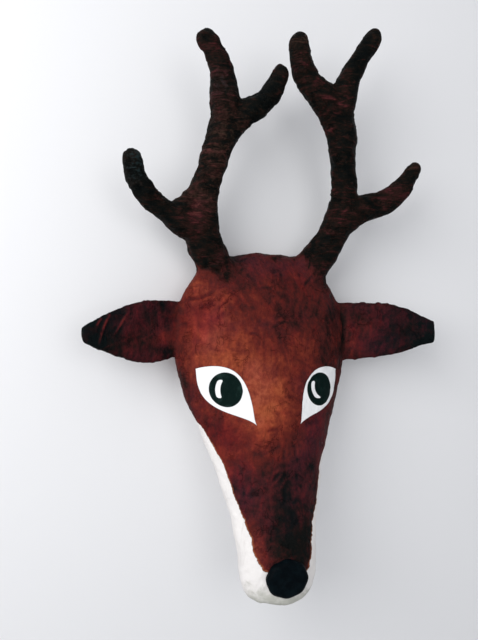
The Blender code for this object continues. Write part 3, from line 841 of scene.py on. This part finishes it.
def brown_colour(paint, marks, ear, ear_ridge_light):
    """Light orange brown between the eyes and on the left brow, dark down the
    muzzle's middle and on the right. The ears are maroon and darken outwards.
    Thin violet and crimson glazes lie over both. Where the paper stands out, on wrinkle tops and on the
    ears' raised folds it is painted lighter, and in the fold grooves and thin sunk lines darker: painted
    light and shade.
    """
    head = 0.47 - 0.9 * paint.x + paint.spots(*WARM_PATCHES) - paint.spots(*DARK_PATCHES)
    outwards = paint.step(0.110, 0.170, abs(paint.x))
    maroon = 0.28 - 0.16 * outwards + paint.spots(*EAR_PATCHES)
    tone = head + 0.25 * marks.broad
    tone = tone + ear * (maroon - tone)
    tone = tone + (0.62 - 0.20 * ear) * marks.patchy + 0.55 * marks.brushed + 0.38 * marks.fine
    # Painted light and shade: lighter where the paper stands out, on wrinkle tops and raised folds, darker
    # in fold grooves and sunk lines
    tone = tone + 0.05 * marks.stand - 0.13 * marks.folded + 0.08 * marks.wrinkle
    tone = tone - 0.035 * marks.lines + 0.28 * ear_ridge_light
    cool = paint.spots(*COOL_PATCHES) + 0.25 * ear + 2.0 * marks.broad
    red = paint.spots(*RED_PATCHES) + 0.4 * ear + 2.5 * marks.brushed
    base = paint.mix(cool.math("MAXIMUM", 0.0), paint.ramp(TONES, tone), COOLER, "MULTIPLY")
    return paint.mix(red.math("MAXIMUM", 0.0), base, CRIMSON, "MULTIPLY")


def antler_colour(paint, marks, crumpled):
    """Near black, crimson where the tines branch off, painted lighter on the raised crumples and wrinkle
    tops and darker between them as painted light and shade, with a painted olive highlight and a painted
    blue sheen on raised and dabbed spots.
    """
    dabbed = paint.noise(0.0110, 4.0, 0.66, stretch=(0.75, 0.75, 1.4), at=(5.0, 3.0, 8.0), bend=0.6)
    # Painted light and shade: the raised crumples and wrinkle tops are painted lighter, the hollows darker
    raised = crumpled - 0.09
    tone = 0.395 + paint.spots(*ANTLER_PATCHES) + 1.5 * dabbed + 2.2 * raised
    tone = tone + 0.14 * marks.wrinkle + 0.5 * marks.fine
    # Spots that take the painted highlight and sheen: dabs and raised crumples
    shine_spots = paint.step(-0.06, 0.14, dabbed + 1.5 * raised + marks.fine)
    base = paint.mix(paint.spots(*OLIVE_HIGHLIGHT_SPOTS) * shine_spots, paint.ramp(ANTLER_TONES, tone), OLIVE_HIGHLIGHT)
    return paint.mix(paint.spots(*BLUE_SHEEN_SPOTS) * shine_spots, base, BLUE_SHEEN)


def jaw_masks(paint, right):
    """The white jaw and the thin orange line where the brown stops. The brown
    comes down further on the right.
    """
    down = -paint.z
    ragged = 0.0016 * paint.noise(0.0030, 2.0, 0.7) + 0.0010 * paint.noise(0.022, 2.0, 0.5)
    further = 0.0010 * paint.step(0.145, 0.165, down) + 0.0100 * paint.step(0.214, 0.238, down)
    stops = tuple((place / REACH, (value / REACH,) * 3) for place, value in JAW_EDGE)
    past = paint.ramp(stops, down / REACH) * REACH + paint.y + ragged - further * right
    jaw = paint.step(-0.0003, 0.0003, past)
    line = paint.step(-0.0014, -0.0004, past) * (1.0 - jaw) * paint.step(0.05, 0.10, down)
    return jaw, line


def white_colour(paint, marks):
    """The jaw's white, shaded by the brush, with painted shade in grey under the chin."""
    shade = paint.step(0.02, 0.30, marks.brushed + 0.5 * marks.patchy)
    # Painted shade: grey under the chin, where its underside faces down
    chin = paint.step(0.232, 0.252, 0.05 * marks.patchy - paint.z)
    return paint.mix(0.9 * chin, paint.mix(shade, WHITE, SHADED_WHITE), CHIN_SHADE_GREY)


def eye_masks(paint, right):
    """Painted eye on each side: the white, the iris and the glint, each 0 to 1.

    The white lies between two lids, k t^a (1 - t)^b, on the line from its
    outer corner to its inner one. The iris is an oval, and the glint a piece
    of an arc with round ends.
    """
    def ends(value):
        return paint.step(-EYE_EDGE, EYE_EDGE, value)

    x, z = abs(paint.x), paint.z
    front = paint.step(0.040, 0.046, -paint.y)
    along_x, along_z = EYE_ALONG
    off_x, off_z = x - EYE_CORNER[0], z - EYE_CORNER[1]
    beyond = off_x * along_x + off_z * along_z
    height = off_x * along_z - off_z * along_x
    t = (beyond / EYE_LENGTH).math("MAXIMUM", 0.0001).math("MINIMUM", 0.9999)
    upper, lower = (k * t**a * (1.0 - t) ** b for k, a, b in (UPPER_LID, LOWER_LID))
    white = ends(upper - height) * ends(height + lower) * ends(beyond) * ends(EYE_LENGTH - beyond) * front
    across = (x - IRIS_PLACE[0]) / (IRIS_HALF[0] + IRIS_WIDER * right)
    level = (z - IRIS_PLACE[1]) / IRIS_HALF[1]
    iris = paint.step(-0.02, 0.02, 1.0 - (across**2.0 + level**2.0).math("SQRT")) * front

    arc_x, arc_z, radius, own_z = (
        one + (other - one) * right for one, other in zip(LEFT_GLINT, RIGHT_GLINT)
    )
    from_x, from_z = paint.x - arc_x, z - arc_z
    ring = (from_x**2.0 + from_z**2.0).math("SQRT")
    level = abs((z - own_z) / GLINT_LENGTH)
    cap = ((level - (1.0 - GLINT_ROUND)) / GLINT_ROUND).math("MAXIMUM", 0.0)
    half = GLINT_WIDTH * (1.0 - cap * cap).math("MAXIMUM", 0.0).math("SQRT")
    glint = ends(half - abs(ring - radius)) * paint.step(-0.001, 0.001, -from_x) * iris
    return white, iris, glint * paint.step(-0.04, 0.04, 1.0 - level)


def skin_paint():
    """Brushed red-brown head, dark ears and antlers, white jaw, painted eyes."""
    paint = Paint("painted_paper", gloss=0.035)
    marks = Brushwork(paint)
    ear, antler = regions(paint, marks)
    # Painted light: the ears' raised folds are painted lighter, and keep their red through the black tips
    ear_ridge_light = (-marks.folded).math("MAXIMUM", 0.0) * paint.step(0.12, 0.14, abs(paint.x))
    crumpled = abs(paint.noise(0.0080, 3.0, 0.60, stretch=(0.45, 0.45, 2.0), bend=1.0))
    base = brown_colour(paint, marks, ear, ear_ridge_light)
    base = paint.mix(antler, base, antler_colour(paint, marks, crumpled))
    slant = 0.2 * paint.z * (2.0 * marks.right - 1.0)
    tip = paint.step(0.163, 0.176, abs(paint.x) + 0.12 * marks.patchy - slant)
    base = paint.mix(ear * tip * (1.0 - antler) * (1.0 - 0.8 * ear_ridge_light), base, GREEN_BLACK)

    jaw, line = jaw_masks(paint, marks.right)
    base = paint.mix(0.5 * line, base, EDGE_ORANGE)
    base = paint.mix(jaw, base, white_colour(paint, marks))
    eye, iris, glint = eye_masks(paint, marks.right)
    iris_colour = paint.mix(paint.step(0.02, 0.22, marks.patchy), IRIS, IRIS_LIGHT)
    for share, colour in ((eye, EYE_WHITE), (iris, iris_colour), (glint, EYE_WHITE)):
        base = paint.mix(share, base, colour)
    bare = paint.mix(paint.step(-0.12, 0.22, marks.patchy + marks.fine), BACK_PAPER, BACK_DARKER)
    base = paint.mix(paint.step(-0.0006, -0.0002, paint.y), base, bare)

    rough = 0.60 + 0.30 * marks.patchy + 0.15 * marks.fine
    creased = 1.0 - 2.0 * abs(paint.noise(0.0065, 3.0, 0.5, at=(4.0, 4.0, 1.0), bend=0.6))
    smooth = jaw.math("MAXIMUM", eye)
    bump = (0.80 - 0.65 * smooth) * creased + 0.45 * marks.brushed + 0.25 * marks.fine
    bump = bump - 0.7 * (1.0 - smooth) * marks.lines + antler * (2.4 * crumpled - 0.3 * creased)
    return paint.finish(base, rough, bump, 1.0, 0.0012)


def nose_paint():
    """Matt black with a faint blue-green cast and worn brush marks."""
    paint = Paint("painted_nose", gloss=0.03)
    marks = paint.noise(0.008, 4.0, 0.6)
    colour = paint.mix(paint.step(-0.10, 0.20, marks), NOSE_BLACK, NOSE_WORN)
    return paint.finish(colour, 0.50 + 0.3 * marks, marks, 0.35, 0.0008)


def plain_paint(name, colour, roughness, see_through_back=False):
    """Plain stage paint. A wall's back can be left clear, to look in from behind."""
    paint = Paint(name)
    material = paint.finish((*colour, 1.0), roughness)
    if see_through_back:
        behind = paint.node("ShaderNodeNewGeometry", (), (), "Backfacing")
        clear = paint.node("ShaderNodeBsdfTransparent")
        painted = Wire(paint, paint.shader.outputs[0])
        mixed = paint.node("ShaderNodeMixShader", (), {0: behind, 1: painted, 2: clear})
        paint.give(paint.tree.nodes["Material Output"].inputs["Surface"], mixed)
    return material


# The stage and the camera
WALL_HALF_WIDTH = 2.5
WALL_TOP = 1.6
FLOOR_LEVEL = -1.5
FLOOR_DEPTH = 3.5
WALL_GAP = 0.0006           # between the flat back and the wall
HOLE_SHARE = 0.96           # of the flat back, open behind it
HOLE_CORNERS = 72
AIR_LIGHT = 0.56
CAMERA_PLACE = (-0.2376, -0.7020, 0.0275)
CAMERA_RIGHT = (0.9521, -0.3042, 0.0307)
CAMERA_BACK = (-0.3056, -0.9433, 0.1297)
CAMERA_LENS = 38.25
CAMERA_SHIFT = 0.1156


def staged(name, points, faces, material):
    """A flat stage piece."""
    mesh = bpy.data.meshes.new(name)
    mesh.from_pydata(points, [], faces)
    mesh.materials.append(material)
    shown(name, mesh)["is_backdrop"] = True


def wall_round(piece, material):
    """The wall, open behind the piece's flat back, so that the back isn't black.

    At angle a the inner edge lies at a share of the back's reach from its
    middle, and the outer edge where the ray at a meets the wall's rectangle.
    """
    places = values_of(piece.data.vertices, "co", 3)
    rim = places[places[:, 1] > -1e-6][:, (0, 2)]
    middle = (rim.min(axis=0) + rim.max(axis=0)) / 2.0
    rim = rim - middle
    bearing = np.arctan2(rim[:, 1], rim[:, 0])
    order = np.argsort(bearing)
    left, right = np.array((-WALL_HALF_WIDTH, WALL_HALF_WIDTH)) - middle[0]
    bottom, top = np.array((FLOOR_LEVEL, WALL_TOP)) - middle[1]
    corners = np.arctan2((top, top, bottom, bottom), (right, left, left, right))
    turns = np.linspace(-math.pi, math.pi, HOLE_CORNERS, endpoint=False)
    turns = np.sort(np.concatenate((turns, corners)))
    across, upward = np.cos(turns), np.sin(turns)
    reach = np.hypot(*rim.T)
    inner = HOLE_SHARE * np.interp(turns, bearing[order], reach[order], period=2.0 * math.pi)
    outer = 1.0 / np.max((across / left, across / right, upward / bottom, upward / top), axis=0)
    far = np.stack((inner, outer))
    points = np.stack((
        middle[0] + far * across, np.full(far.shape, WALL_GAP), middle[1] + far * upward,
    ), axis=-1).reshape(-1, 3)
    here = np.arange(len(turns))
    after = np.roll(here, -1)
    faces = np.column_stack((here, here + len(turns), after + len(turns), after))
    staged("backdrop_wall", points.tolist(), faces.tolist(), material)


def flat_faces(piece):
    """The faces of the flat back are shaded flat."""
    turned = values_of(piece.data.polygons, "normal", 3)[:, 1]
    deep = values_of(piece.data.polygons, "center", 3)[:, 1]
    piece.data.polygons.foreach_set("use_smooth", (turned < 0.999) | (deep < -1e-5))


def softbox(name, place, size, power):
    """A round soft light that faces the origin."""
    lamp = bpy.data.lights.new(name, "AREA")
    lamp.shape = "DISK"
    lamp.size = size
    lamp.energy = power
    item = bpy.data.objects.new(name, lamp)
    item.location = place
    item.rotation_mode = "QUATERNION"
    item.rotation_quaternion = (-Vector(place)).to_track_quat("-Z", "Y")
    bpy.context.scene.collection.objects.link(item)


def studio(piece):
    """Pale wall and floor, a soft key light from the upper left and fills."""
    wall_round(piece, plain_paint("pale_wall", WALL_COLOUR, 0.7, see_through_back=True))
    staged("studio_floor", [
        (-WALL_HALF_WIDTH, -FLOOR_DEPTH, FLOOR_LEVEL), (WALL_HALF_WIDTH, -FLOOR_DEPTH, FLOOR_LEVEL),
        (WALL_HALF_WIDTH, WALL_GAP, FLOOR_LEVEL), (-WALL_HALF_WIDTH, WALL_GAP, FLOOR_LEVEL),
    ], [(0, 1, 2, 3)], plain_paint("pale_floor", FLOOR_COLOUR, 0.7))
    softbox("key", (-0.80, -0.80, 0.35), 0.90, 9.0)
    softbox("fill", (0.1, -2.2, 0.3), 1.2, 7.0)
    world = bpy.data.worlds.new("studio_air")
    world.use_nodes = True
    air = world.node_tree.nodes["Background"].inputs
    air["Color"].default_value = (*AIR_COLOUR, 1.0)
    air["Strength"].default_value = AIR_LIGHT
    bpy.context.scene.world = world
    bpy.context.scene.view_settings.view_transform = "Standard"


def camera():
    """Where the photograph was taken from: to the left of the muzzle."""
    lens = bpy.data.cameras.new("photo_camera")
    lens.lens = CAMERA_LENS
    lens.sensor_width = 36.0
    lens.shift_y = CAMERA_SHIFT
    lens.clip_start = 0.01
    lens.clip_end = 50.0
    item = bpy.data.objects.new("photo_camera", lens)
    back = Vector(CAMERA_BACK).normalized()
    up = back.cross(Vector(CAMERA_RIGHT)).normalized()
    turn = Matrix((up.cross(back), up, back)).transposed().to_4x4()
    item.matrix_world = Matrix.Translation(CAMERA_PLACE) @ turn
    bpy.context.scene.collection.objects.link(item)
    bpy.context.scene.camera = item


camera()
skin, button = stag_head()
for piece, material in ((skin, skin_paint()), (button, nose_paint())):
    piece.data.materials.append(material)
    piece.data.shade_smooth()
    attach(piece, "root")
    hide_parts("stag_head")
skin.data.set_sharp_from_angle(angle=math.radians(70.0))
flat_faces(skin)
studio(skin)
